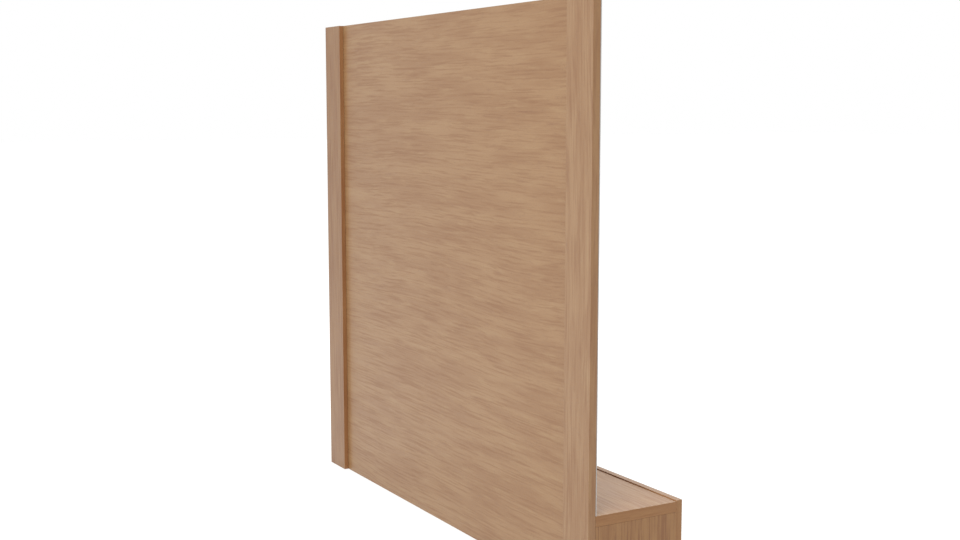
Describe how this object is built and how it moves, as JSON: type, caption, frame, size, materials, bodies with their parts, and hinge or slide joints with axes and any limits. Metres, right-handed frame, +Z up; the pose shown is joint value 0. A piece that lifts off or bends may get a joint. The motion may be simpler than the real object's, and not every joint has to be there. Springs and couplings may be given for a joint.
{
  "type": "folding study carrel",
  "caption": "Floor-standing oak study carrel, stowed: framed screen with pinboard, drawer base, fold-up worktop and hinged privacy wings.",
  "frame": {"origin": "middle of the footprint, on the floor", "axes": "+X towards the user's right, the user sits on the -Y side, +Z up"},
  "size_m": [1.281, 0.2378, 1.219],
  "materials": {
    "oak_veneer": "satin lacquered oak veneer",
    "oak_solid": "satin lacquered solid oak",
    "birch_ply": "clear lacquered birch plywood",
    "grey_felt": "pressed felt",
    "wing_felt": "pressed felt",
    "painted_steel": "powder coat",
    "zinc_steel": "bright zinc plate",
    "black_rubber": "matt"
  },
  "bodies": {
    "screen_and_base": {"post_left": "oak_veneer", "post_right": "oak_veneer", "back_panel": "oak_veneer", "pinboard": "grey_felt", "upright_left": "oak_veneer", "upright_right": "oak_veneer", "top_rail": "oak_veneer", "mid_rail": "oak_veneer", "base_top": "oak_veneer", "base_end_left": "oak_veneer", "base_end_right": "oak_veneer", "base_bottom": "birch_ply", "base_divider": "birch_ply", "kick_rail": "oak_solid", "leveller_rear_left": "zinc_steel", "leveller_front_left": "zinc_steel", "runner_inner_left": "zinc_steel", "runner_outer_left": "zinc_steel", "bracket_leg_left": "painted_steel", "bumper_left": "black_rubber", "hinge_fixed_left": "zinc_steel", "catch_left": "painted_steel", "leveller_rear_right": "zinc_steel", "leveller_front_right": "zinc_steel", "runner_inner_right": "zinc_steel", "runner_outer_right": "zinc_steel", "bracket_leg_right": "painted_steel", "bumper_right": "black_rubber", "hinge_fixed_right": "zinc_steel", "catch_right": "painted_steel"},
    "worktop": {"worktop_board": "oak_veneer", "worktop_lipping": "oak_solid", "bracket_arm_left": "painted_steel", "bracket_arm_right": "painted_steel"},
    "strut_left": {"strut_left": "painted_steel"},
    "wing_left": {"wing_board_left": "oak_veneer", "wing_lining_left": "wing_felt", "hinge_moving_left": "zinc_steel", "strike_left": "zinc_steel"},
    "drawer_left": {"drawer_front_left": "oak_veneer", "drawer_side_inner_left": "birch_ply", "drawer_side_outer_left": "birch_ply", "drawer_back_left": "birch_ply", "drawer_bottom_left": "birch_ply", "drawer_slide_inner_left": "zinc_steel", "drawer_slide_outer_left": "zinc_steel"},
    "strut_right": {"strut_right": "painted_steel"},
    "wing_right": {"wing_board_right": "oak_veneer", "wing_lining_right": "wing_felt", "hinge_moving_right": "zinc_steel", "strike_right": "zinc_steel"},
    "drawer_right": {"drawer_front_right": "oak_veneer", "drawer_side_inner_right": "birch_ply", "drawer_side_outer_right": "birch_ply", "drawer_back_right": "birch_ply", "drawer_bottom_right": "birch_ply", "drawer_slide_inner_right": "zinc_steel", "drawer_slide_outer_right": "zinc_steel"}
  },
  "joints": [
    {"name": "worktop_lift", "type": "hinge", "parent": "screen_and_base", "child": "worktop", "pos_m": [0, 0.0689, 0.706], "axis": [-1, 0, 0], "range_deg": [0, 90]},
    {"name": "strut_swing_left", "type": "hinge", "parent": "screen_and_base", "child": "strut_left", "pos_m": [-0.507, 0.0689, 0.556], "axis": [-1, 0, 0], "range_deg": [0, 127]},
    {"name": "strut_swing_right", "type": "hinge", "parent": "screen_and_base", "child": "strut_right", "pos_m": [0.507, 0.0689, 0.556], "axis": [-1, 0, 0], "range_deg": [0, 127]},
    {"name": "wing_fold_left", "type": "hinge", "parent": "screen_and_base", "child": "wing_left", "pos_m": [-0.5825, 0.0797, 0.97], "axis": [0, 0, -1], "range_deg": [0, 90]},
    {"name": "wing_fold_right", "type": "hinge", "parent": "screen_and_base", "child": "wing_right", "pos_m": [0.5825, 0.0797, 0.97], "axis": [0, 0, 1], "range_deg": [0, 90]},
    {"name": "drawer_pull_left", "type": "slide", "parent": "screen_and_base", "child": "drawer_left", "axis": [0, -1, 0], "range_m": [0, 0.11]},
    {"name": "drawer_pull_right", "type": "slide", "parent": "screen_and_base", "child": "drawer_right", "axis": [0, -1, 0], "range_m": [0, 0.11]}
  ],
  "couplings": [
    {"joint": "strut_swing_left", "follows": "worktop_lift", "ratio": 1.4097},
    {"joint": "strut_swing_right", "follows": "worktop_lift", "ratio": 1.4097}
  ]
}
